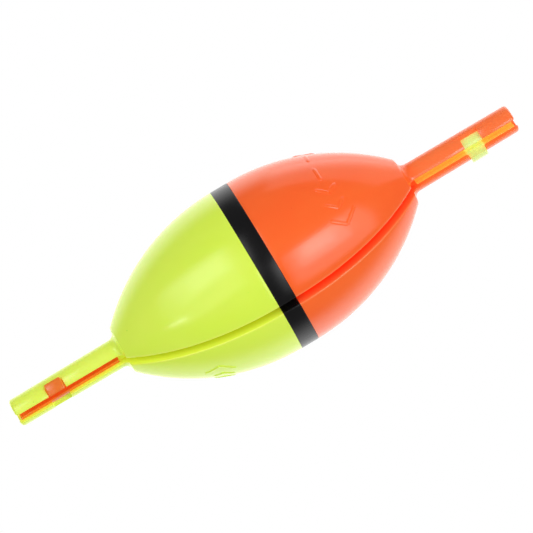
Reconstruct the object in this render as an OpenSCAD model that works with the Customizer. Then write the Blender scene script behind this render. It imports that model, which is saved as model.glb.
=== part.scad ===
// Slotted fishing float with a twist lock at each end.
//
// Two identical hollow half mouldings, each with its own stem, are joined through a
// black centre ring. One slot runs along the whole float, so a line is laid in from the
// side. A C-shaped lock tube sits in each stem: turned by its thumb tab, its slit leaves
// the stem's slit and the line can no longer come out.
//
// Frame: the origin is the middle of the float, on its long axis. +Z points to the upper
// tip, and the slot opens towards -Y. Both locks are drawn open, against their stops.
// The lower half is the upper half turned half a turn about Y. Sizes are in millimetres.

/* [Body] */
// Diameter at the middle
body_d = 32; // [28:0.5:38]
// Distance from the middle to the flat of the nose
nose_z = 29.3; // [27:0.1:33]
// Diameter that the belly's curve reaches at the nose
nose_d = 8.8; // [8:0.1:10]
// Rounding between the belly and the flat of the nose
nose_round = 0.9; // [0.4:0.1:1.2]
// Thickness of the outer wall
wall = 1.2; // [0.8:0.1:1.6]
// Thickness of the solid nose, from its flat to the hollow
nose_wall = 1.8; // [1.2:0.1:3]

/* [Line way] */
// Width of the slot in the body
slot_w = 1.5; // [1:0.1:1.5]
// Radius of the line's bore, through the body and both lock tubes
line_bore_r = 1.1; // [1.1:0.05:1.2]
// Thickness of the walls around the bore and beside the slot
core_wall = 1; // [0.8:0.1:1.4]

/* [Stem] */
// Distance from the middle to the stem's tip
tip_z = 51.3; // [50:0.1:60]
// Radius of the stem where it leaves the nose
stem_root_r = 2.73; // [2.6:0.01:3]
// Radius of the stem at its tip
stem_tip_r = 2.62; // [2.5:0.01:2.9]
// Rounding between the nose and the stem
stem_fillet = 1.3; // [0.6:0.1:1.5]
// Rounding of the tip's outer edge
tip_round = 0.6; // [0.2:0.1:0.7]
// Width of the slit along the stem
slit_w = 1.7; // [1.2:0.1:1.8]

/* [Lock] */
// Outer radius of the lock tube
tube_r = 1.7; // [1.6:0.05:1.8]
// Width of the lock tube's slit
tube_slit_w = 1.2; // [0.8:0.1:1.2]
// Running clearance between the lock tube and the stem, on the radius
tube_fit = 0.07; // [0.04:0.01:0.1]
// How far the lock tube's outer end lies inside the stem's tip
tube_recess = 0.5; // [0.2:0.1:1]
// Distance from the middle to the centre of the thumb tab
tab_z = 42.8; // [40:0.1:44]
// Height of the thumb tab along the stem, at its base
tab_h = 3.4; // [2.5:0.1:4]
// Radius of the thumb tab's outer face
tab_r = 3.35; // [3.1:0.05:3.6]
// Angle from the middle of the tube's slit to the tab's far side
tab_sweep = 55; // [40:1:60]
// Angle between the tube's slit and the stem's slit when open
open_turn = 9.5; // [0:0.5:12]
// Angle that the lock tube turns from open to locked
lock_turn = 95; // [80:1:100]

/* [Centre ring] */
// Height of the ring's visible band
ring_h = 3.4; // [2.5:0.1:5]
// Thickness of the disc across the middle
web_t = 1.2; // [0.8:0.1:1.6]
// Thickness of the collars that centre the two halves
collar_t = 0.9; // [0.6:0.1:1.2]
// How far the collars reach into each half
collar_h = 1.7; // [1:0.1:3]
// Clearance between a collar and the half around it
collar_fit = 0.1; // [0.05:0.01:0.2]

/* [Hidden] */
$fn = 96;

orange = "#ff5a1f";
yellow = "#d9f24a";
black = "#202020";

body_r = body_d / 2;
band_z = ring_h / 2; // where a half meets the ring
core_r = line_bore_r + core_wall; // outside of the wall around the bore
core_half = slot_w / 2 + core_wall; // outside of the walls beside the slot
stem_bore_r = tube_r + tube_fit;
end_gap = 0.1; // clearance at each end of the lock tube and of its tab
stop_gap = 0.12; // clearance left at each of the tab's two stops
tab_draft = 0.12; // how much lower the tab is at each end of its outer face
cut = 1; // how far a cutting shape passes the face that it cuts
wide = 2 * body_r; // reaches past everything that is cut
arc_steps = 28; // straight stretches in the belly's curve
corner_steps = 6; // and in a rounded corner

// The belly is one arc, tangent to the ring's cylinder and reaching nose_d at nose_z
belly_rise = nose_z - band_z;
belly_drop = body_r - nose_d / 2;
belly_r = (belly_rise ^ 2 + belly_drop ^ 2) / (2 * belly_drop);
belly_x = body_r - belly_r; // the arc's centre, at height band_z

// Centre of the nose's rounding, which touches the belly's arc and the nose's flat
round_z = nose_z - nose_round;
round_x = belly_x + sqrt((belly_r - nose_round) ^ 2 - (round_z - band_z) ^ 2);
belly_end = atan2(round_z - band_z, round_x - belly_x); // angle where the arc ends

root_z = nose_z + stem_fillet; // where the fillet has become the stem
hollow_z = nose_z - nose_wall; // top of the hollow

tube_from = root_z + end_gap;
tube_to = tip_z - tube_recess;

// The window runs from stop to stop, in angles from the slit towards +X
stop_angle = stop_gap / stem_root_r * 180 / PI;
window_from = open_turn - lock_turn + asin(tube_slit_w / 2 / stem_root_r) - stop_angle;
window_to = open_turn + tab_sweep + stop_angle;
window_h = tab_h + 2 * end_gap;

// Points along an arc about c, from angle a to angle b
function arc(c, r, a, b, steps) =
    [for (k = [0:steps]) let (t = a + (b - a) * k / steps) c + r * [cos(t), sin(t)]];

// Points on a circle of radius r, from angle a to angle b, with 0 at the slot
function fan(r, a, b, steps) =
    [for (k = [0:steps]) let (t = a + (b - a) * k / steps) r * [sin(t), -cos(t)]];

// Cuts from the axis out through the slot's side, between two heights
module slot_cut(w, z1, z2) {
    translate([-w / 2, -wide, z1]) cube([w, wide, z2 - z1]);
}

// Everything between two angles about the axis
module sector(a, b, z, h) {
    translate([0, 0, z]) linear_extrude(h) polygon(concat([[0, 0]], fan(wide, a, b, 4)));
}

// Outside of a half: belly, nose and stem
module half_outside() {
    rotate_extrude() polygon(concat(
        [[0, band_z]],
        arc([belly_x, band_z], belly_r, 0, belly_end, arc_steps),
        arc([round_x, round_z], nose_round, belly_end, 90, corner_steps),
        arc([stem_root_r + stem_fillet, root_z], stem_fillet, 270, 180, corner_steps),
        arc([stem_tip_r - tip_round, tip_z - tip_round], tip_round, 0, 90, corner_steps),
        [[0, tip_z]]
    ));
}

// Space inside a half, around the bore's wall and the slot's walls
module hollow() {
    inner_r = belly_r - wall;
    inner_end = asin((hollow_z - band_z) / inner_r);
    difference() {
        rotate_extrude() polygon(concat(
            [[core_r, band_z - cut], [belly_x + inner_r, band_z - cut]],
            arc([belly_x, band_z], inner_r, 0, inner_end, arc_steps),
            [[core_r, hollow_z]]
        ));
        slot_cut(2 * core_half, band_z - 2 * cut, nose_z);
    }
}

// One half moulding: hollow body and slit stem with the tab's window
module half_shell() {
    difference() {
        half_outside();
        hollow();
        translate([0, 0, band_z - cut]) cylinder(h = root_z, r = line_bore_r);
        translate([0, 0, root_z]) cylinder(h = tip_z, r = stem_bore_r);
        slot_cut(slot_w, band_z - cut, root_z + cut);
        slot_cut(slit_w, root_z, tip_z + cut);
        sector(window_from, window_to, tab_z - window_h / 2, window_h);
    }
}

// Thumb tab: a drafted block that stands out beside the tube's slit
module thumb_tab() {
    base = tab_h / 2;
    face = base - tab_draft;
    root = (line_bore_r + tube_r) / 2; // buried in the tube's wall
    intersection() {
        translate([0, 0, tab_z]) rotate_extrude()
            polygon([[root, -base], [stem_bore_r, -base], [tab_r, -face],
                     [tab_r, face], [stem_bore_r, base], [root, base]]);
        sector(0, tab_sweep, tab_z - tab_h, 2 * tab_h);
    }
}

// C-shaped tube that turns in the stem, open at rest
module lock_tube() {
    rotate([0, 0, open_turn]) difference() {
        union() {
            translate([0, 0, tube_from]) cylinder(h = tube_to - tube_from, r = tube_r);
            thumb_tab();
        }
        translate([0, 0, tube_from - cut]) cylinder(h = tip_z, r = line_bore_r);
        slot_cut(tube_slit_w, tube_from - cut, tip_z);
    }
}

// Turns an upper piece over into its lower twin
module lower_end() {
    rotate([0, 180, 0]) children();
}

module lower_half_shell() {
    color(yellow) lower_end() half_shell();
}

module upper_half_shell() {
    color(orange) half_shell();
}

// Ring between the halves: rim, disc, hub, slot walls and two centring collars
module centre_ring() {
    collar_r = body_r - wall - collar_fit;
    collar_reach = band_z + collar_h;
    color(black) difference() {
        union() {
            difference() {
                cylinder(h = ring_h, r = body_r, center = true);
                cylinder(h = ring_h + cut, r = collar_r - collar_t, center = true);
            }
            cylinder(h = web_t, r = body_r - wall, center = true);
            cylinder(h = ring_h, r = core_r, center = true);
            intersection() {
                cylinder(h = ring_h, r = body_r - wall, center = true);
                slot_cut(2 * core_half, -band_z, band_z);
            }
            difference() {
                cylinder(h = 2 * collar_reach, r = collar_r, center = true);
                cylinder(h = 2 * collar_reach + cut, r = collar_r - collar_t, center = true);
                for (side = [0, 180]) rotate([0, side, 0])
                    slot_cut(2 * (core_half + collar_fit), band_z, collar_reach + cut);
            }
        }
        cylinder(h = ring_h + cut, r = line_bore_r, center = true);
        slot_cut(slot_w, -band_z - cut, band_z + cut);
    }
}

module lower_lock_tube() {
    color(orange) lower_end() lock_tube();
}

module upper_lock_tube() {
    color(yellow) lock_tube();
}

lower_half_shell();
upper_half_shell();
centre_ring();
lower_lock_tube();
upper_lock_tube();
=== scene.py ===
# %% [markdown]
# A slotted fishing float, modelled around its CAD frame
#
# The float is five plastic mouldings: two hollow halves that are twins of each other, a
# black ring between them, and a C-shaped lock tube in each stem. A slot runs from tip to
# tip, so a line is pressed in from the side and then locked in place.
#
# The CAD model fixes every size and every joint. This lesson models each moulding again
# with the soft edges, thin lips and raised marks that a mould leaves, and then gives each
# one its plastic. All lengths below are in millimetres until they reach Blender.

# %% Load the frame
import math

import bmesh
import bpy
from mathutils import Matrix, Vector


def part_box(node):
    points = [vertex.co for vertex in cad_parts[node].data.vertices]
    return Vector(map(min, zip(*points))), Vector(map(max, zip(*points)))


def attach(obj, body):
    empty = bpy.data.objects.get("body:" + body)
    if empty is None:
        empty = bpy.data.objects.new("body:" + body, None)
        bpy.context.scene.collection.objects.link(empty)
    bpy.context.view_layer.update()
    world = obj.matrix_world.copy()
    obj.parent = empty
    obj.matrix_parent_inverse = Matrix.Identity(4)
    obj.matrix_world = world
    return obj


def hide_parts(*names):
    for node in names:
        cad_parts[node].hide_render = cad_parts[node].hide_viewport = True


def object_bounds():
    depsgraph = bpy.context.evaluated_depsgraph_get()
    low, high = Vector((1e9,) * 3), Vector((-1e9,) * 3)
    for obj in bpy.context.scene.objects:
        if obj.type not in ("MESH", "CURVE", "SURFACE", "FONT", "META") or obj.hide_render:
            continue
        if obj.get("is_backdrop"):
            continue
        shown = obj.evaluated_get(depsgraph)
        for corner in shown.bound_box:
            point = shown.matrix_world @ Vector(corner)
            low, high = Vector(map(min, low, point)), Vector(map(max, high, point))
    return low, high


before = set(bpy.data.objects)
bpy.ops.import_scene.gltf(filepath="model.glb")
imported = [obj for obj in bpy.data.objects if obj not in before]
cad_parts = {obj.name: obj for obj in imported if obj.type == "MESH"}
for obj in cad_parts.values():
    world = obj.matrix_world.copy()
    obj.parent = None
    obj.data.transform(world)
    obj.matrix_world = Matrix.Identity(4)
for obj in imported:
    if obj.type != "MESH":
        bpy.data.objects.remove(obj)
cad_low, cad_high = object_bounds()
print("CAD box in mm:", [round(v * 1000, 2) for v in (*cad_low, *cad_high)])

# %% [markdown]
# ## The sizes
#
# What the frame knows is read from it: the body's radius, the ring's half height, the
# stem's tip and both ends of a lock tube. The rest are the mould maker's own sizes. Edge
# roundings are what a polished mould leaves, about 0.1 to 0.2 mm.

# %% Sizes in millimetres
MM = 0.001
shell_low, shell_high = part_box("upper_half_shell")
tube_low, tube_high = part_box("upper_lock_tube")

body_r = round(shell_high.y / MM, 2)
band_z = round(shell_low.z / MM, 2)
tip_z = round(shell_high.z / MM, 2)
tube_from = round(tube_low.z / MM, 2)
tube_to = round(tube_high.z / MM, 2)

nose_z, nose_r, nose_round = 29.3, 4.4, 0.9
stem_root_r, stem_tip_r = 2.73, 2.62
stem_fillet, tip_round = 1.3, 0.6
edge_round = 0.12
slot_half, slit_half = 0.75, 0.85
body_lip, stem_lip = 0.22, 0.15
line_bore_r, stem_bore_r = 1.1, 1.77
wall, core_wall, hollow_z = 1.2, 1.0, 27.5

tab_z, tab_h, tab_r, tab_draft = 42.8, 3.4, 3.35, 0.12
tab_sweep, open_turn = 55.0, 9.5
window_from, window_to, window_h = -75.3, 67.0, 3.6
tube_r, tube_slit_half, tube_lip = 1.7, 0.6, 0.1

root_z = nose_z + stem_fillet
print(f"body radius {body_r}, ring to {band_z}, tip at {tip_z}, lock tube {tube_from} to {tube_to}")

# %% [markdown]
# ## The camera
#
# The float lies slanted across the picture, orange end up and to the right, and the slot
# faces the lower right. A long lens from 0.75 m away keeps both stems nearly the same
# size. The camera is level with the float and rolled about its own line of sight.

# %% Camera
VIEW_AZIMUTH, VIEW_ELEVATION = -31.2, -1.2
VIEW_SLANT = 30.8
VIEW_DISTANCE = 0.75
VIEW_WIDTH = 0.0945
OFF_CENTRE_X, OFF_CENTRE_Y = -0.4, 0.16
SENSOR = 36.0

azimuth, elevation = math.radians(VIEW_AZIMUTH), math.radians(VIEW_ELEVATION)
back = Vector((
    math.sin(azimuth) * math.cos(elevation),
    -math.cos(azimuth) * math.cos(elevation),
    math.sin(elevation),
))
bpy.ops.object.camera_add()
camera = bpy.context.object
camera.name = "camera"
level_turn = (-back).to_track_quat("-Z", "Y").to_matrix()
roll = Matrix.Rotation(math.radians(90 - VIEW_SLANT), 3, "Z")
camera_turn = level_turn @ roll
picture_right, picture_up = camera_turn.col[0], camera_turn.col[1]
aim = -(picture_right * OFF_CENTRE_X + picture_up * OFF_CENTRE_Y) * MM
camera.matrix_world = Matrix.Translation(aim + back * VIEW_DISTANCE) @ camera_turn.to_4x4()
camera.data.sensor_width = SENSOR
camera.data.lens = SENSOR * VIEW_DISTANCE / VIEW_WIDTH
camera.data.clip_start = 0.01
bpy.context.scene.camera = camera
print("lens", round(camera.data.lens, 1), "mm")

# %% [markdown]
# ## Hand tools
#
# An operator acts on whatever is selected, so each step first picks what it works on, by
# place. These helpers are the gestures of a modeller's hand: start an empty piece, put
# down one point, swing it round an arc, pick some faces or edges.

# %% Start a piece, pick parts of it, and finish it
def start_piece(name):
    """An empty mesh in edit mode: a plane is added and its points are deleted."""
    bpy.ops.object.select_all(action="DESELECT")
    bpy.ops.mesh.primitive_plane_add(size=MM)
    piece = bpy.context.object
    piece.name = name
    piece.data.name = name
    bpy.ops.object.mode_set(mode="EDIT")
    bpy.ops.mesh.delete(type="VERT")
    return piece


def edit(piece):
    """Opens one piece for editing, with nothing of it selected."""
    bpy.ops.object.select_all(action="DESELECT")
    bpy.context.view_layer.objects.active = piece
    piece.select_set(True)
    bpy.ops.object.mode_set(mode="EDIT")
    bpy.ops.mesh.select_all(action="DESELECT")


def pick(kind, test):
    """In edit mode: selects only the VERTs, EDGEs or FACEs that pass the test."""
    bpy.ops.mesh.select_mode(type=kind)
    bpy.ops.mesh.select_all(action="DESELECT")
    mesh = bpy.context.object.data
    shape = bmesh.from_edit_mesh(mesh)
    parts = {"VERT": shape.verts, "EDGE": shape.edges, "FACE": shape.faces}[kind]
    chosen = [part for part in parts if test(part)]
    for part in chosen:
        part.select_set(True)
    bmesh.update_edit_mesh(mesh)
    return len(chosen)


MERGE = 0.001 * MM


def done(piece):
    """Closes the edit: doubles merged and all faces turned outwards."""
    bpy.ops.mesh.select_mode(type="VERT")
    bpy.ops.mesh.select_all(action="SELECT")
    bpy.ops.mesh.remove_doubles(threshold=MERGE)
    bpy.ops.mesh.normals_make_consistent(inside=False)
    bpy.ops.mesh.select_all(action="DESELECT")
    bpy.ops.object.mode_set(mode="OBJECT")
    return piece


def report(piece):
    """Prints how many faces a piece has, and how many of its edges are open."""
    shape = bmesh.new()
    shape.from_mesh(piece.data)
    loose = sum(1 for e in shape.edges if not e.is_manifold)
    volume = shape.calc_volume() / MM ** 3
    print(f"{piece.name}: {len(shape.faces)} faces, {loose} open edges, volume {volume:.0f} mm3")
    shape.free()


# %% [markdown]
# ## How to model a slot that stays parallel on a body that tapers
#
# Spinning the body's outline and cutting the slot out of it would leave slivers along the
# slot, and slivers spoil a glossy surface just where the eye looks. A curve with a bevel
# can't keep the slot's width as the body tapers. So every moulding here is *lofted*, the
# way a boat builder sets up frames: at each height one C-shaped line is drawn with the
# spin tool, lip to lip, and all the lines are then bridged into one skin. The lips are
# spun too, as small arcs at both ends of the C, so the slot has its soft edge from tip
# to tip and every face is a clean four-sided one.
#
# The spin tool turns clockwise about its axis, so its axis is pointed down.

# %% Draw one C-shaped line
LIP_STEPS = 4
DOWN = (0, 0, -1)


def put_point(x, y, z):
    """One point: a tiny plane merged at its centre."""
    bpy.ops.mesh.primitive_plane_add(size=MM, location=(x * MM, y * MM, z * MM))
    bpy.ops.mesh.merge(type="CENTER")


def swing(steps, angle, x, y, z):
    """Swings the selected point anticlockwise about (x, y), leaving a line behind it."""
    bpy.ops.mesh.spin(steps=steps, angle=angle, center=(x * MM, y * MM, z * MM), axis=DOWN)


def draw_c(z, radius, half_gap, lip, steps):
    """A C-shaped line at height z, open towards -Y, with its two lips rounded."""
    lip_x = half_gap + lip
    lip_y = -math.sqrt((radius - lip) ** 2 - lip_x ** 2)
    lean = math.atan2(lip_y, lip_x)
    put_point(half_gap, lip_y, z)
    if lip:
        swing(LIP_STEPS, math.pi + lean, lip_x, lip_y, z)
    swing(steps, math.pi - 2 * lean, 0, 0, z)
    if lip:
        swing(LIP_STEPS, math.pi + lean, -lip_x, lip_y, z)


# %% [markdown]
# A moulding has an outer skin and a bore, both C-shaped. They are lofted as two skins,
# joined, and closed by bridging: first the two walls of the slot, edge line to edge line,
# then each end. The result is one closed solid.

# %% Loft a skin, and close two skins into a solid
def skin(name, lines, steps):
    """Bridges C-shaped lines, given as (z, radius, half_gap, lip), into one skin."""
    piece = start_piece(name)
    for z, radius, half_gap, lip in lines:
        draw_c(z, radius, half_gap, lip, steps)
    bpy.ops.mesh.select_all(action="SELECT")
    bpy.ops.mesh.bridge_edge_loops()
    bpy.ops.object.mode_set(mode="OBJECT")
    return piece


def is_end(edge):
    """An edge that lies level, at one end of a skin."""
    return abs(edge.verts[0].co.z - edge.verts[1].co.z) < 1e-9


def loft_solid(name, outer, bore, steps, bore_steps):
    """A solid between an outer skin and a bore, both open on the slot's side."""
    piece = skin(name, outer, steps)
    inner = skin(name + "_bore", bore, bore_steps)
    bpy.ops.object.select_all(action="DESELECT")
    inner.select_set(True)
    piece.select_set(True)
    bpy.context.view_layer.objects.active = piece
    bpy.ops.object.join()
    edit(piece)
    for side in (1, -1):
        pick("EDGE", lambda e: e.is_boundary and not is_end(e) and e.verts[0].co.x * side > 0)
        bpy.ops.mesh.bridge_edge_loops()
    for z in (outer[0][0], outer[-1][0]):
        pick("EDGE", lambda e: e.is_boundary and abs(e.verts[0].co.z - z * MM) < 1e-8)
        bpy.ops.mesh.edge_face_add()
    return done(piece)


def arc(z, r, radius, start, end, steps):
    """Points (z, r) along an arc of an outline, without its first point."""
    angles = [math.radians(start + (end - start) * k / steps) for k in range(1, steps + 1)]
    return [(z + radius * math.sin(a), r + radius * math.cos(a)) for a in angles]


# %% [markdown]
# ## The half moulding
#
# Its outline is one long arc for the belly, a small rounding where the nose turns in, a
# fillet into the stem, a stem that tapers a little so that it leaves the mould, and a
# rounded tip. The slot widens slightly where the stem begins, so that the lock tube
# shows in the stem's slit.

# %% Outline of one half, from the ring to the tip
rise, drop = nose_z - band_z, body_r - nose_r
belly_r = (rise ** 2 + drop ** 2) / (2 * drop)
belly_x = body_r - belly_r


def half_outline():
    round_z = nose_z - nose_round
    round_c = belly_x + math.sqrt((belly_r - nose_round) ** 2 - (round_z - band_z) ** 2)
    belly_end = math.degrees(math.atan2(round_z - band_z, round_c - belly_x))
    belly_start = math.degrees(math.asin(edge_round / belly_r))
    points = [(band_z, body_r - edge_round)]
    points += arc(band_z + edge_round, body_r - edge_round, edge_round, -90, 0, 4)
    points += arc(band_z, belly_x, belly_r, belly_start, belly_end, 36)
    points += arc(round_z, round_c, nose_round, belly_end, 84, 6)
    points += arc(root_z, stem_root_r + stem_fillet, stem_fillet, 264, 180, 8)
    slope = (stem_tip_r - stem_root_r) / (tip_z - tip_round - root_z)
    window = (tab_z - window_h / 2, tab_z + window_h / 2)
    stem_heights = [root_z + 0.05, 34, 37.5, window[0], tab_z, window[1], 47.5, tip_z - tip_round]
    points += [(z, stem_root_r + slope * (z - root_z)) for z in stem_heights]
    points += arc(tip_z - tip_round, stem_tip_r - tip_round, tip_round, 0, 90, 6)
    return points


outline = half_outline()
print(len(outline), "points in the outline; the belly's arc has a radius of", round(belly_r, 1), "mm")


# %% Loft the half moulding
def share_of_stem(z):
    """0 on the body, 1 on the stem, and in between over the nose's fillet."""
    return min(1, max(0, (z - nose_z) / stem_fillet))


def between(a, b, share):
    return a + (b - a) * share


def gap_at(z):
    return between(slot_half, slit_half, share_of_stem(z))


outer_lines = [(z, r, gap_at(z), between(body_lip, stem_lip, share_of_stem(z))) for z, r in outline]
bore_lines = [(z, line_bore_r if z <= root_z else stem_bore_r, gap_at(z), 0) for z, r in outline]
upper_half = loft_solid("upper_half", outer_lines, bore_lines, 96, 40)
report(upper_half)

# %% [markdown]
# ## The thumb tab's window
#
# The tab reaches out through an opening in the stem's wall, from one stop to the other.
# A boolean would also do it, but the wall's grid is already there: two bisects score the
# wall at the stops, the faces between them are deleted, and the outer and inner rims are
# bridged again. A small bevel takes the sharpness off the rim.
#
# The bisect tool's own threshold is a tenth of a millimetre, too coarse for a stem that is
# five across, so it is given a finer one.

# %% Cut the window in the stem
WINDOW_BEVEL = 0.08
EXACT = 1e-8
window_low, window_high = tab_z - window_h / 2, tab_z + window_h / 2


def out_from_axis(angle):
    """The direction out from the axis, at an angle in degrees from the slot towards +X."""
    turn = math.radians(angle)
    return Vector((math.sin(turn), -math.cos(turn), 0))


def angle_of(place):
    return math.degrees(math.atan2(place.x, -place.y))


def radius_of(place):
    return math.hypot(place.x, place.y) / MM


def beside_window(face, side):
    place = face.calc_center_median()
    return window_low < place.z / MM < window_high and place.x * side > 0


def in_window(face):
    place = face.calc_center_median()
    inside = window_from < angle_of(place) < window_to
    return inside and window_low < place.z / MM < window_high


def is_rim(edge, z, side):
    """An edge of the window's outer or inner rim at height z, on one side of the slit."""
    a, b = edge.verts[0].co, edge.verts[1].co
    level = abs(a.z / MM - z) < 1e-4 and abs(b.z / MM - z) < 1e-4
    return edge.is_boundary and level and a.x * side > 0 and abs(radius_of(a) - radius_of(b)) < 0.3


edit(upper_half)
for stop, side in ((window_from, -1), (window_to, 1)):
    pick("FACE", lambda f: beside_window(f, side))
    out = out_from_axis(stop)
    bpy.ops.mesh.bisect(plane_co=(0, 0, 0), plane_no=(out.y, -out.x, 0), threshold=EXACT)
print(pick("FACE", in_window), "faces are taken out")
bpy.ops.mesh.delete(type="FACE")
for side in (-1, 1):
    for z in (window_low, window_high):
        pick("EDGE", lambda e: is_rim(e, z, side))
        bpy.ops.mesh.bridge_edge_loops()
    pick("EDGE", lambda e: e.is_boundary and e.verts[0].co.x * side > 0)
    bpy.ops.mesh.edge_face_add()
done(upper_half)
report(upper_half)

# %% Soften the window's rim
def is_sharp_rim(edge):
    a, b = edge.verts[0].co, edge.verts[1].co
    near = all(window_low - 1e-3 < p.z / MM < window_high + 1e-3 for p in (a, b))
    outside = min(radius_of(a), radius_of(b)) > 2.3
    return near and outside and edge.is_manifold and edge.calc_face_angle() > 1


edit(upper_half)
print(pick("EDGE", is_sharp_rim), "edges of the rim are bevelled")
bpy.ops.mesh.bevel(offset=WINDOW_BEVEL * MM, segments=2, affect="EDGES")
done(upper_half)
report(upper_half)

# %% [markdown]
# ## The air inside
#
# The halves float because they are hollow. The hollow follows the belly at the wall's
# thickness and leaves a core round the bore and a wall along each side of the slot. It is
# lofted like the outside, and then taken out with a boolean.

# %% Hollow out the half
def cut_or_add(piece, tool, operation):
    """Applies a boolean with another piece, which is used up."""
    bpy.ops.object.select_all(action="DESELECT")
    bpy.context.view_layer.objects.active = piece
    piece.select_set(True)
    modifier = piece.modifiers.new(operation, "BOOLEAN")
    modifier.operation = operation
    modifier.solver = "EXACT"
    modifier.object = tool
    bpy.ops.object.modifier_apply(modifier=modifier.name)
    bpy.data.objects.remove(tool)


core_r = line_bore_r + core_wall
core_half = slot_half + core_wall
HOLLOW_STEPS = 24
PAST_FACE = 1.0


def hollow_r_at(z):
    return belly_x + math.sqrt((belly_r - wall) ** 2 - max(0, z - band_z) ** 2)


hollow_from = band_z - PAST_FACE
hollow_h = hollow_z - hollow_from
hollow_heights = [hollow_from + hollow_h * k / HOLLOW_STEPS for k in range(HOLLOW_STEPS + 1)]
hollow = loft_solid(
    "hollow",
    [(z, hollow_r_at(z), core_half, 0) for z in hollow_heights],
    [(z, core_r, core_half, 0) for z in hollow_heights],
    64,
    24,
)
cut_or_add(upper_half, hollow, "DIFFERENCE")
report(upper_half)

# %% [markdown]
# ## The lock tube and its thumb tab
#
# The tube is C-shaped like the stem round it, so it is lofted the same way. The tab starts
# as a flat outline with rounded corners that is spun about the axis. A bisect trims its
# near end beside the slit, two small insets round each end for the thumb, and a boolean
# welds it to the tube. The lock is turned to its open place last, where its slit nearly
# lines up with the stem's.

# %% Loft the lock tube
TUBE_END_ROUND = 0.12


def tube_outline():
    r = tube_r - TUBE_END_ROUND
    points = [(tube_from, r)]
    points += arc(tube_from + TUBE_END_ROUND, r, TUBE_END_ROUND, -90, 0, 3)
    points += [(z, tube_r) for z in (34, 38, 42, 46)]
    points += [(tube_to - TUBE_END_ROUND, tube_r)]
    points += arc(tube_to - TUBE_END_ROUND, r, TUBE_END_ROUND, 0, 90, 3)
    return points


tube_points = tube_outline()
upper_lock = loft_solid(
    "upper_lock",
    [(z, r, tube_slit_half, tube_lip) for z, r in tube_points],
    [(z, line_bore_r, tube_slit_half, 0) for z, r in tube_points],
    64,
    40,
)

# %% Spin the thumb tab, trim it, round its ends and weld it on
TAB_ROOT_R = 1.4
TAB_ROUND = 0.25
END_ROUND = 0.2
NEAR_END = tube_slit_half + 0.03
tab_half = tab_h / 2
tab_low, tab_top = tab_z - tab_half, tab_z + tab_half
corner_r = tab_r - TAB_ROUND
corner_low = tab_low + tab_draft + TAB_ROUND
corner_top = tab_top - tab_draft - TAB_ROUND
tab_outline = [(tab_low, TAB_ROOT_R), (tab_low, stem_bore_r), (corner_low - TAB_ROUND, corner_r)]
tab_outline += arc(corner_low, corner_r, TAB_ROUND, -90, 0, 4)
tab_outline += [(corner_top, tab_r)]
tab_outline += arc(corner_top, corner_r, TAB_ROUND, 0, 90, 4)
tab_outline += [(tab_top, stem_bore_r), (tab_top, TAB_ROOT_R)]

tab = start_piece("tab")
put_point(0, -tab_outline[0][1], tab_outline[0][0])
for (z, r), (next_z, next_r) in zip(tab_outline, tab_outline[1:]):
    step = Vector((0, r - next_r, next_z - z)) * MM
    bpy.ops.mesh.extrude_vertices_move(TRANSFORM_OT_translate={"value": step})
bpy.ops.mesh.select_all(action="SELECT")
bpy.ops.mesh.edge_face_add()
far_end = tab_sweep - math.degrees(END_ROUND / corner_r)
bpy.ops.mesh.spin(steps=20, angle=math.radians(far_end), center=(0, 0, 0), axis=DOWN)
bpy.ops.mesh.select_all(action="SELECT")
bpy.ops.mesh.remove_doubles(threshold=MERGE)
bpy.ops.mesh.bisect(
    plane_co=((NEAR_END + END_ROUND) * MM, 0, 0),
    plane_no=(1, 0, 0),
    use_fill=True,
    clear_inner=True,
    threshold=EXACT,
)
done(tab)
edit(tab)
along_sweep = out_from_axis(far_end + 90)
for outwards in (Vector((-1, 0, 0)), along_sweep):
    pick("FACE", lambda f: f.normal.dot(outwards) > 0.999 and len(f.verts) > 4)
    bpy.ops.mesh.inset(thickness=0.3 * END_ROUND * MM, depth=0.7 * END_ROUND * MM)
    bpy.ops.mesh.inset(thickness=0.7 * END_ROUND * MM, depth=0.3 * END_ROUND * MM)
done(tab)
report(tab)
cut_or_add(upper_lock, tab, "UNION")
report(upper_lock)
upper_lock.rotation_euler.z = math.radians(open_turn)
bpy.ops.object.transform_apply(rotation=True)
tab_angles = [angle_of(v.co) for v in upper_lock.data.vertices if radius_of(v.co) > corner_r]
print(f"the tab spans {min(tab_angles):.0f} to {max(tab_angles):.0f} degrees")

# %% [markdown]
# ## The centre ring
#
# The black band is a real ring: the slot's walls are black there too. Its rim is lofted
# with the same soft slot edges as the halves. Inside it are a web across the middle, a
# core round the bore, and a collar each way that centres the half mouldings. Those are
# cut and added with booleans, because none of them shows.

# %% Model the ring
WEB_HALF = 0.6
COLLAR_T, COLLAR_H, COLLAR_FIT = 0.9, 1.7, 0.1
collar_r = body_r - wall - COLLAR_FIT
collar_in = collar_r - COLLAR_T
collar_half = core_half + COLLAR_FIT


def block(name, z1, z2, outer_r, inner_r, half_gap):
    """A plain C-shaped block between two heights."""
    ends = (z1, z2)
    outer = [(z, outer_r, half_gap, 0) for z in ends]
    return loft_solid(name, outer, [(z, inner_r, half_gap, 0) for z in ends], 96, 40)


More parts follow.
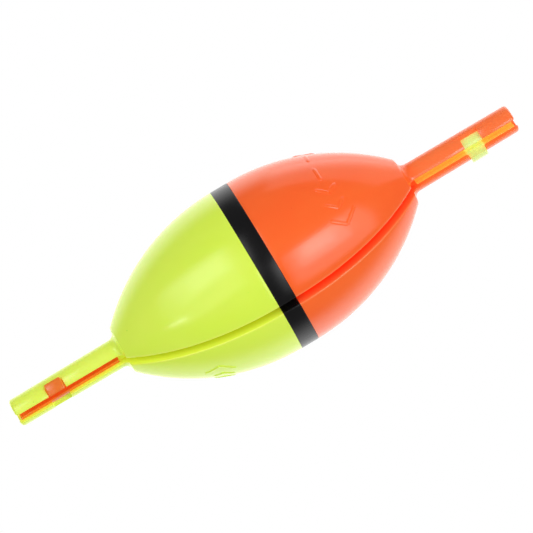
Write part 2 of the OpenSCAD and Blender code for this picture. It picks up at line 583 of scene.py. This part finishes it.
rim = [(-band_z, body_r - edge_round)]
rim += arc(-band_z + edge_round, body_r - edge_round, edge_round, -90, 0, 3)
rim += [(0, body_r), (band_z - edge_round, body_r)]
rim += arc(band_z - edge_round, body_r - edge_round, edge_round, 0, 90, 3)
ring = loft_solid(
    "ring",
    [(z, r, slot_half, body_lip) for z, r in rim],
    [(z, line_bore_r, slot_half, 0) for z, r in rim],
    96,
    40,
)
for side in (-1, 1):
    near, far = side * WEB_HALF, side * (band_z + PAST_FACE)
    pocket = block("pocket", min(near, far), max(near, far), collar_in, core_r, core_half)
    cut_or_add(ring, pocket, "DIFFERENCE")
for side in (-1, 1):
    near, far = side * (band_z - 0.4), side * (band_z + COLLAR_H)
    collar = block("collar", min(near, far), max(near, far), collar_r, collar_in + 0.001, collar_half)
    cut_or_add(ring, collar, "UNION")
report(ring)

# %% [markdown]
# ## Raised turn marks
#
# Each half carries raised strokes, moulded in one with the shell, that show the angler
# which way the lock turns. Here they are plain arrows: chevrons at both ends of a bar that
# runs round the belly. A stroke could be cut from the shell by a boolean, but its edge
# would spoil the gloss round it. So a line is swung or stepped over the belly, turned into
# a curve, and given a round bevel that is mostly sunk in the wall. Only the top fifth of
# a millimetre stands out, as in a shallow engraved mould. The curve's radius shrinks at
# both ends of a stroke, which closes it in a dome.

# %% Draw the strokes on the belly
STROKE_W, STROKE_H = 0.8, 0.17
MARK_Z, MARK_HALF = 15.8, 2.6
MARK_FROM, MARK_TO = -26.0, -154.0
CHEVRON_STEP = 14.0
CHEVRON_LEAN = 9.0
CHEVRONS = 3
stroke_r = (STROKE_W ** 2 / 4 + STROKE_H ** 2) / (2 * STROKE_H)
stroke_depth = stroke_r - STROKE_H
END_SHARES = (0.0, 0.1, 0.3, 0.6, 1.0)


def on_belly(angle, z):
    """A place under the belly's surface, at the depth of a stroke's centre line."""
    sunk_r = belly_r - stroke_depth
    reach = belly_x + math.sqrt(sunk_r ** 2 - (z - band_z) ** 2)
    return out_from_axis(angle) * reach + Vector((0, 0, z))


def stroke(start, end, steps):
    """One stroke between two (angle, z) places; its points crowd where the end is domed."""
    a, b = Vector(start), Vector(end)
    length = (on_belly(*a) - on_belly(*b)).length
    reach = stroke_r / length
    shares = [reach * s for s in END_SHARES]
    shares += [reach + (1 - 2 * reach) * k / steps for k in range(1, steps)]
    shares += [1 - reach * s for s in reversed(END_SHARES)]
    places = [on_belly(*a.lerp(b, share)) for share in shares]
    put_point(*places[0])
    for here, there in zip(places, places[1:]):
        bpy.ops.mesh.extrude_vertices_move(TRANSFORM_OT_translate={"value": (there - here) * MM})
    radii = [math.sqrt(max(0.0, 1 - (1 - s) ** 2)) for s in END_SHARES]
    return radii + [1.0] * (steps - 1) + radii[::-1]


marks = start_piece("upper_turn_mark")
radii = []
for k in range(CHEVRONS):
    for near, far in ((MARK_FROM, -1), (MARK_TO, 1)):
        point = near + far * CHEVRON_STEP * k
        tail = point + far * CHEVRON_LEAN
        for side in (-1, 1):
            radii += stroke((point, MARK_Z), (tail, MARK_Z + side * MARK_HALF), 6)
inset = CHEVRON_STEP * (CHEVRONS - 1) + CHEVRON_LEAN * 1.3
radii += stroke((MARK_FROM - inset, MARK_Z), (MARK_TO + inset, MARK_Z), 24)
bpy.ops.object.mode_set(mode="OBJECT")
bpy.ops.object.convert(target="CURVE")
points = [p for spline in marks.data.splines for p in spline.points]
for p, radius in zip(points, radii):
    p.radius = max(radius, 0.02)
marks.data.bevel_depth = stroke_r * MM
marks.data.bevel_resolution = 6
marks.data.use_fill_caps = True
bpy.ops.object.convert(target="MESH")
edit(marks)
done(marks)
report(marks)


# %% [markdown]
# ## The lower end is the upper end turned over
#
# The real float needs only one mould for both halves and one for both locks. So the lower
# pieces are copies, each with its own mesh, turned half a turn about Y. The turn is applied
# to the mesh, and the object stays at the origin.

# %% Copy the lower end, and name, shade and place every piece
SHARP_FROM = math.radians(32)


def turned_over(piece, name):
    copy = piece.copy()
    copy.data = piece.data.copy()
    copy.name = name
    bpy.context.collection.objects.link(copy)
    bpy.ops.object.select_all(action="DESELECT")
    bpy.context.view_layer.objects.active = copy
    copy.select_set(True)
    copy.rotation_euler.y = math.pi
    bpy.ops.object.transform_apply(rotation=True)
    return copy


lower_half = turned_over(upper_half, "lower_half")
lower_lock = turned_over(upper_lock, "lower_lock")
lower_marks = turned_over(marks, "lower_turn_mark")

places = (
    (upper_half, "float_body", "upper_half_shell", "orange_plastic"),
    (lower_half, "float_body", "lower_half_shell", "yellow_plastic"),
    (ring, "float_body", "centre_ring", "black_plastic"),
    (upper_lock, "upper_lock", "upper_lock_tube", "yellow_plastic"),
    (lower_lock, "lower_lock", "lower_lock_tube", "orange_plastic"),
    (marks, "float_body", None, "orange_plastic"),
    (lower_marks, "float_body", None, "yellow_plastic"),
)
for piece, body, node, slot in places:
    bpy.ops.object.select_all(action="DESELECT")
    bpy.context.view_layer.objects.active = piece
    piece.select_set(True)
    bpy.ops.object.shade_smooth_by_angle(angle=SHARP_FROM)
    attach(piece, body)
    if node:
        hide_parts(node)
    print(f"{piece.name} rides on {body}, finish {slot}")

# %% [markdown]
# ## How to build a finish
#
# Each finish below is a small tree of nodes. One function adds a node, sets what it is
# given and links what it is given; another turns a colour from the hex value a paint chart
# would give into the linear light that the renderer adds up. All patterns read Object
# coordinates, which are metres here, so a pattern's scale is one over its size in metres.

# %% The two helpers for every finish
def colour(hex_value):
    """An sRGB hex colour as linear light, with alpha."""
    parts = [int(hex_value[k:k + 2], 16) / 255 for k in (1, 3, 5)]
    linear = [p / 12.92 if p <= 0.04045 else ((p + 0.055) / 1.055) ** 2.4 for p in parts]
    return (*linear, 1)


def add(tree, kind, inputs=None, **settings):
    """Adds a node with its settings; inputs are values or links, by socket name or number."""
    node = tree.nodes.new(kind)
    for key, value in settings.items():
        setattr(node, key, value)
    for key, value in (inputs or {}).items():
        if isinstance(value, bpy.types.NodeSocket):
            tree.links.new(value, node.inputs[key])
        else:
            node.inputs[key].default_value = value
    return node


def per_mm(size):
    """The scale of a pattern whose features are this many millimetres apart."""
    return 1 / (size * MM)


def new_finish(name):
    finish = bpy.data.materials.new(name)
    finish.use_nodes = True
    finish.node_tree.nodes.clear()
    return finish, finish.node_tree


# %% [markdown]
# ## Fluorescent polystyrene
#
# The halves and the locks are injection-moulded polystyrene with fluorescent pigment. It
# gives the eye four things: a colour almost brighter than paper, light that soaks a little
# way in so that thin lips and stems look pale, a polished gloss with a faint orange peel,
# and slow clouds in the pigment where the melt flowed from the gate. Polystyrene's index
# of refraction is 1.59.
#
# The renderer has no fluorescence, so a weak emission of the plastic's own colour stands in
# for it. The walls of the slot and the lock tubes get colours and glows of their own, by
# where they lie. Those are given one by one, and do not follow from the light.

# %% Build the fluorescent plastic
PEEL_MM, CLOUD_MM, FLOW_MM = 1.8, 16.0, 6.0
STRETCH = 0.35
SPECK_CELL_MM, SPECK_MM, SPECK_DARK = 5.0, 0.12, 0.3
# Painted light through thin plastic: how far from the lips, and how far up the stems, the colour is
# painted paler
LIP_REACH_MM = 0.55
STEM_REACH_MM, STEM_THROUGH_LIGHT = 3.0, 0.7
# Painted shade in the slot: the walls' mask, and how far in the painted shade reaches
WALL_MM, WALL_EDGE_MM, WALL_SHADE_MM = 0.03, 0.05, 2.5
WALL_AT_LIP = 0.35
WINDOW_EDGE_MM = 0.2
# GLOW stands in for fluorescence; the two wall glows paint lit and shaded parts of the slot's walls
GLOW, LOCK_GLOW, LIT_WALL_GLOW, SHADED_WALL_GLOW = 0.25, 0.15, 0.34, 0.14


def fluorescent_polystyrene(name, body, cloud, painted_through_light, slot_shade, painted_stem_glow=None, in_window=0.0, glow=GLOW):
    finish, tree = new_finish(name)
    place = add(tree, "ShaderNodeTexCoord").outputs["Object"]
    along = add(tree, "ShaderNodeMapping", {"Vector": place, "Scale": (1, 1, STRETCH)}).outputs[0]
    spot = add(tree, "ShaderNodeSeparateXYZ", {0: place})

    # Clouds in the pigment, drawn out along the float by the flow of the melt
    clouds = add(tree, "ShaderNodeTexNoise", {
        "Vector": along, "Scale": per_mm(CLOUD_MM), "Detail": 3.0,
    })
    cloudy = add(tree, "ShaderNodeMapRange", {
        "Value": clouds.outputs[0], "From Min": 0.35, "From Max": 0.7,
    })
    tint = add(tree, "ShaderNodeMix", {0: cloudy.outputs[0], 6: colour(body), 7: colour(cloud)},
               data_type="RGBA").outputs[2]

    # Painted light: the lips of the slot and the thin stems are painted paler, for the light that
    # soaks through the thin plastic
    height = add(tree, "ShaderNodeMath", {0: spot.outputs[2]}, operation="ABSOLUTE")
    widening = add(tree, "ShaderNodeMapRange", {
        "Value": height.outputs[0],
        "From Min": nose_z * MM,
        "From Max": root_z * MM,
        "To Min": slot_half * MM,
        "To Max": slit_half * MM,
    })
    from_middle = add(tree, "ShaderNodeMath", {0: spot.outputs[0]}, operation="ABSOLUTE")
    aside = add(tree, "ShaderNodeMath", {
        0: from_middle.outputs[0], 1: widening.outputs[0],
    }, operation="SUBTRACT")
    near_lip = add(tree, "ShaderNodeMapRange", {
        "Value": aside.outputs[0],
        "From Min": WALL_MM * MM,
        "From Max": (WALL_MM + LIP_REACH_MM) * MM,
        "To Min": 1.0,
        "To Max": 0.0,
    }, interpolation_type="SMOOTHSTEP")
    slot_side = add(tree, "ShaderNodeMath", {
        0: spot.outputs[1], 1: -line_bore_r * MM,
    }, operation="LESS_THAN")
    lip = add(tree, "ShaderNodeMath", {
        0: near_lip.outputs[0], 1: slot_side.outputs[0],
    }, operation="MULTIPLY")
    stem = add(tree, "ShaderNodeMapRange", {
        "Value": height.outputs[0],
        "From Min": nose_z * MM,
        "From Max": (nose_z + STEM_REACH_MM) * MM,
        "To Min": 0.0,
        "To Max": STEM_THROUGH_LIGHT,
    })
    through_light_share = add(tree, "ShaderNodeMath", {
        0: lip.outputs[0], 1: stem.outputs[0],
    }, operation="MAXIMUM")
    tint = add(tree, "ShaderNodeMix", {0: through_light_share.outputs[0], 6: tint, 7: colour(painted_through_light)},
               data_type="RGBA").outputs[2]

    # Painted shade: the walls inside the slot are painted deeper in colour, and glow less the further
    # in they lie, for the shade and the coloured light bounced about in the slot
    if not painted_stem_glow:
        in_slot = add(tree, "ShaderNodeMapRange", {
            "Value": aside.outputs[0],
            "From Min": WALL_MM * MM,
            "From Max": (WALL_MM + WALL_EDGE_MM) * MM,
            "To Min": 1.0,
            "To Max": 0.0,
        })
        wall = add(tree, "ShaderNodeMath", {
            0: in_slot.outputs[0], 1: slot_side.outputs[0],
        }, operation="MULTIPLY")
        inwards = add(tree, "ShaderNodeMath", {0: spot.outputs[1]}, operation="ABSOLUTE")
        arc_x = add(tree, "ShaderNodeMath", {
            0: inwards.outputs[0], 1: belly_x * MM,
        }, operation="SUBTRACT")
        arc_z = add(tree, "ShaderNodeMath", {
            0: height.outputs[0], 1: band_z * MM,
        }, operation="SUBTRACT")
        from_arc = add(tree, "ShaderNodeCombineXYZ", {0: arc_x.outputs[0], 1: arc_z.outputs[0]})
        arc_reach = add(tree, "ShaderNodeVectorMath", {0: from_arc.outputs[0]}, operation="LENGTH")
        inner = {"Value": arc_reach.outputs["Value"], "From Min": (belly_r - WALL_SHADE_MM) * MM,
                 "From Max": belly_r * MM}
        shade_by_depth = add(tree, "ShaderNodeMapRange", {**inner, "To Min": 1.0, "To Max": WALL_AT_LIP})
        share = add(tree, "ShaderNodeMath", {
            0: wall.outputs[0], 1: shade_by_depth.outputs[0],
        }, operation="MULTIPLY")
        tint = add(tree, "ShaderNodeMix", {0: share.outputs[0], 6: tint, 7: colour(slot_shade)},
                   data_type="RGBA").outputs[2]
        painted_wall_glow = add(tree, "ShaderNodeMapRange", {
            **inner, "To Min": SHADED_WALL_GLOW, "To Max": LIT_WALL_GLOW,
        })
        glow = add(tree, "ShaderNodeMix", {
            0: wall.outputs[0], 2: glow, 3: painted_wall_glow.outputs[0],
        }).outputs[0]

    # Painted reflection: a lock tube inside its stem is painted with the stem's coloured light bounced
    # onto it, except where it stands clear
    if painted_stem_glow:
        from_tab = add(tree, "ShaderNodeMath", {
            0: height.outputs[0], 1: tab_z * MM,
        }, operation="SUBTRACT")
        clear = add(tree, "ShaderNodeMath", {0: from_tab.outputs[0]}, operation="ABSOLUTE")
        stem_glow_share = add(tree, "ShaderNodeMapRange", {
            "Value": clear.outputs[0],
            "From Min": (window_h / 2 - WINDOW_EDGE_MM) * MM,
            "From Max": (window_h / 2 + WINDOW_EDGE_MM) * MM,
            "To Min": in_window,
            "To Max": 1.0,
        })
        tint = add(tree, "ShaderNodeMix", {0: stem_glow_share.outputs[0], 6: tint, 7: colour(painted_stem_glow)},
                   data_type="RGBA").outputs[2]

    # A few dark specks of burnt pigment
    cells = add(tree, "ShaderNodeTexVoronoi", {"Vector": place, "Scale": per_mm(SPECK_CELL_MM)})
    speck = add(tree, "ShaderNodeMapRange", {
        "Value": cells.outputs["Distance"],
        "From Min": SPECK_MM / SPECK_CELL_MM,
        "From Max": 1.6 * SPECK_MM / SPECK_CELL_MM,
        "To Min": SPECK_DARK,
        "To Max": 0.0,
    })
    tint = add(tree, "ShaderNodeMix", {0: speck.outputs[0], 6: tint, 7: colour("#5A4A22")},
               data_type="RGBA").outputs[2]

    # Gloss: polished, and a little duller in the cloudy places
    rough = add(tree, "ShaderNodeMapRange", {
        "Value": clouds.outputs[0], "To Min": 0.12, "To Max": 0.24,
    })

    # Relief: orange peel over long, shallow flow waves
    peel = add(tree, "ShaderNodeTexNoise", {
        "Vector": place, "Scale": per_mm(PEEL_MM), "Detail": 1.0,
    })
    flow = add(tree, "ShaderNodeTexNoise", {
        "Vector": along, "Scale": per_mm(FLOW_MM), "Detail": 1.0,
    })
    waves = add(tree, "ShaderNodeBump", {
        "Height": flow.outputs[0], "Strength": 0.3, "Distance": 0.06 * MM,
    })
    peeled = add(tree, "ShaderNodeBump", {
        "Height": peel.outputs[0], "Strength": 0.25, "Distance": 0.02 * MM, "Normal": waves.outputs[0],
    })

    shader = add(tree, "ShaderNodeBsdfPrincipled", {
        "Base Color": tint,
        "Roughness": rough.outputs[0],
        "Normal": peeled.outputs[0],
        "IOR": 1.59,
        "Subsurface Weight": 0.25,
        "Subsurface Radius": (1.0, 0.6, 0.3),
        "Subsurface Scale": 0.6 * MM,
        "Emission Color": tint,
        "Emission Strength": glow,
    })
    add(tree, "ShaderNodeOutputMaterial", {"Surface": shader.outputs[0]})
    return finish


# Each plastic's colours: the body, its clouds, the painted light where it is thin, and the painted
# shade inside the slot
ORANGE = ("#FF6426", "#FF6F2C", "#FF7E44", "#FF4618")
YELLOW = ("#D8F44C", "#DFF65A", "#E4F65E", "#D4DC28")
# The yellow lock's colours are a paler copy of the yellow: painted light for the lock's lit face
LIT_YELLOW = ("#DCF28A", "#DFF48E", "#E0F490", "#D4DC28")
orange = fluorescent_polystyrene("fluorescent_orange_polystyrene", *ORANGE)
yellow = fluorescent_polystyrene("fluorescent_yellow_polystyrene", *YELLOW)
# Each lock's extra colour is the painted reflection of the stem round it
orange_lock = fluorescent_polystyrene(
    "orange_polystyrene_in_yellow_glow", *ORANGE, "#F57E28", 0.85, glow=LOCK_GLOW
)
yellow_lock = fluorescent_polystyrene(
    "yellow_polystyrene_in_orange_glow", *LIT_YELLOW, "#FFC050", 0.05
)

# %% [markdown]
# ## Black nylon
#
# The ring is moulded nylon, coloured with carbon black. It is satin rather than glossy,
# because its mould was spark-eroded, which leaves a fine even grain. The grain is finer
# than the render can show, so it is drawn at a quarter of a millimetre. The rims are
# painted a little paler where they stand against the halves, a painted highlight along
# their edges. Nylon's index of refraction is 1.53. It is set to 1.4 here, so that the ring
# mirrors less and looks dark enough.

# %% Build the black nylon
GRAIN_MM, PATCH_MM = 0.25, 5.0
RIM_REACH_MM, RIM_SHEEN = 0.22, 0.5


def black_nylon():
    finish, tree = new_finish("black_moulded_nylon")
    place = add(tree, "ShaderNodeTexCoord").outputs["Object"]
    patches = add(tree, "ShaderNodeTexNoise", {
        "Vector": place, "Scale": per_mm(PATCH_MM), "Detail": 3.0,
    })
    tone = add(tree, "ShaderNodeMix", {
        0: patches.outputs[0], 6: colour("#0E0E0F"), 7: colour("#161516"),
    }, data_type="RGBA")
    spot = add(tree, "ShaderNodeSeparateXYZ", {0: place})
    up = add(tree, "ShaderNodeMath", {0: spot.outputs[2]}, operation="ABSOLUTE")
    # Painted highlight: the rims are painted paler near the ring's faces
    painted_rim_sheen = add(tree, "ShaderNodeMapRange", {
        "Value": up.outputs[0],
        "From Min": (band_z - RIM_REACH_MM) * MM,
        "From Max": band_z * MM,
        "To Min": 0.0,
        "To Max": RIM_SHEEN,
    })
    with_rim_sheen = add(tree, "ShaderNodeMix", {
        0: painted_rim_sheen.outputs[0], 6: tone.outputs[2], 7: colour("#3A3936"),
    }, data_type="RGBA")
    grain = add(tree, "ShaderNodeTexNoise", {
        "Vector": place, "Scale": per_mm(GRAIN_MM), "Detail": 2.0,
    })
    rough = add(tree, "ShaderNodeMapRange", {
        "Value": patches.outputs[0], "To Min": 0.2, "To Max": 0.32,
    })
    relief = add(tree, "ShaderNodeBump", {
        "Height": grain.outputs[0], "Strength": 0.4, "Distance": 0.015 * MM,
    })
    shader = add(tree, "ShaderNodeBsdfPrincipled", {
        "Base Color": with_rim_sheen.outputs[2],
        "Roughness": rough.outputs[0],
        "Normal": relief.outputs[0],
        "IOR": 1.4,
    })
    add(tree, "ShaderNodeOutputMaterial", {"Surface": shader.outputs[0]})
    return finish


black = black_nylon()

# %% Put each finish on its pieces
finishes = {"orange_plastic": orange, "yellow_plastic": yellow, "black_plastic": black}
lock_finishes = {"orange_plastic": orange_lock, "yellow_plastic": yellow_lock}
for piece, body, node, slot in places:
    finish = finishes[slot] if body == "float_body" else lock_finishes[slot]
    piece.data.materials.clear()
    piece.data.materials.append(finish)
    print(piece.name, "is", finish.name)

# %% [markdown]
# ## The studio
#
# The float stands on a small light table. The room behind it is white, and so is all that
# the camera sees past it. The room on the camera's side is dim, apart from two softboxes,
# a panel at the side and a narrow strip. That is what gives the plastic its look: pale
# edges all round, where it mirrors the white room at a glancing angle, a plain middle, and
# one soft patch of light on each half. Bearings are taken from the camera, and heights
# from the float's middle.

# %% The room
ROOM_BEHIND, ROOM_IN_FRONT = 1.35, 0.18
EDGE_FROM, EDGE_TO = -0.6, -0.1
EDGE_LEAN = -0.08

room = bpy.data.worlds.new("white_room")
bpy.context.scene.world = room
room.use_nodes = True
tree = room.node_tree
tree.nodes.clear()
level_right = Vector((math.cos(azimuth), math.sin(azimuth), 0))
to_front = (back + level_right * EDGE_LEAN).normalized()
direction = add(tree, "ShaderNodeTexCoord").outputs["Generated"]
frontness = add(tree, "ShaderNodeVectorMath", {
    0: direction, 1: tuple(to_front),
}, operation="DOT_PRODUCT")
level = add(tree, "ShaderNodeMapRange", {
    "Value": frontness.outputs["Value"],
    "From Min": EDGE_FROM,
    "From Max": EDGE_TO,
    "To Min": ROOM_BEHIND,
    "To Max": ROOM_IN_FRONT,
}, interpolation_type="SMOOTHSTEP")
lighting = add(tree, "ShaderNodeBackground", {
    "Color": colour("#FFFFFF"), "Strength": level.outputs[0],
})
paper = add(tree, "ShaderNodeBackground", {"Color": colour("#FFFFFF"), "Strength": 1.0})
seen = add(tree, "ShaderNodeLightPath").outputs["Is Camera Ray"]
choice = add(tree, "ShaderNodeMixShader", {0: seen, 1: lighting.outputs[0], 2: paper.outputs[0]})
add(tree, "ShaderNodeOutputWorld", {"Surface": choice.outputs[0]})
bpy.context.scene.view_settings.view_transform = "Standard"

# %% The softboxes
LAMP_DISTANCE = 0.6


def softbox(name, bearing, height, wide, tall, radiance):
    """A softbox by its place and its angular size in degrees, and how bright it looks."""
    turn, rise = math.radians(VIEW_AZIMUTH + bearing), math.radians(height)
    out = Vector((math.sin(turn) * math.cos(rise), -math.cos(turn) * math.cos(rise), math.sin(rise)))
    bpy.ops.object.light_add(type="AREA", location=out * LAMP_DISTANCE)
    lamp = bpy.context.object
    lamp.name = name
    lamp.rotation_euler = out.to_track_quat("Z", "Y").to_euler()
    lamp.data.shape = "RECTANGLE"
    lamp.data.size = 2 * LAMP_DISTANCE * math.tan(math.radians(wide / 2))
    lamp.data.size_y = 2 * LAMP_DISTANCE * math.tan(math.radians(tall / 2))
    lamp.data.energy = radiance * math.pi * lamp.data.size * lamp.data.size_y
    width, length = lamp.data.size / MM, lamp.data.size_y / MM
    print(f"{name}: {width:.0f} x {length:.0f} mm, {lamp.data.energy:.2f} W")


# Each softbox is brightest in its middle, so it is made of three overlapping panels
softbox("key_outer", 23, 33, 44, 54, 1.2)
softbox("key_middle", 15, 28.5, 26, 33, 1.6)
softbox("key_core", 11, 26, 18, 20, 1.6)
softbox("fill_outer", -20, -31.5, 60, 47, 0.75)
softbox("fill_middle", -32, -26.5, 32, 37, 0.7)
softbox("fill_core", -31, -23.5, 22, 23, 0.9)
softbox("side_panel", -109, 46, 44, 66, 0.6)
softbox("strip_light", 10, -51, 4, 10, 6.0)

# %% The light table
TABLE_R, TABLE_H, TABLE_GAP = 0.25, 0.004, 0.02
bpy.ops.object.select_all(action="DESELECT")
bpy.ops.mesh.primitive_circle_add(
    vertices=96, radius=TABLE_R, fill_type="NGON", location=(0, 0, cad_low.z - TABLE_GAP * MM)
)
table = bpy.context.object
table.name = "light_table"
bpy.ops.object.mode_set(mode="EDIT")
bpy.ops.mesh.extrude_region_move(TRANSFORM_OT_translate={"value": (0, 0, -TABLE_H)})
bpy.ops.mesh.select_all(action="SELECT")
bpy.ops.mesh.normals_make_consistent(inside=False)
bpy.ops.object.mode_set(mode="OBJECT")
bpy.ops.object.transform_apply(location=True)
table_finish, tree = new_finish("white_light_table")
glow = add(tree, "ShaderNodeEmission", {"Color": colour("#FFFFFF"), "Strength": 1.0})
add(tree, "ShaderNodeOutputMaterial", {"Surface": glow.outputs[0]})
table_finish.cycles.emission_sampling = "NONE"
table.data.materials.append(table_finish)
table.visible_shadow = False
table.visible_diffuse = False
table.visible_glossy = False
table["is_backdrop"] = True

# %% [markdown]
# ## The size
#
# The moulded pieces must stay inside the CAD model's box. Both boxes are printed.

# %% Print both boxes
low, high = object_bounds()
boxes = {"cad": [*cad_low, *cad_high], "visual": [*low, *high]}
for name, box in boxes.items():
    print(name, [round(v / MM, 2) for v in box])
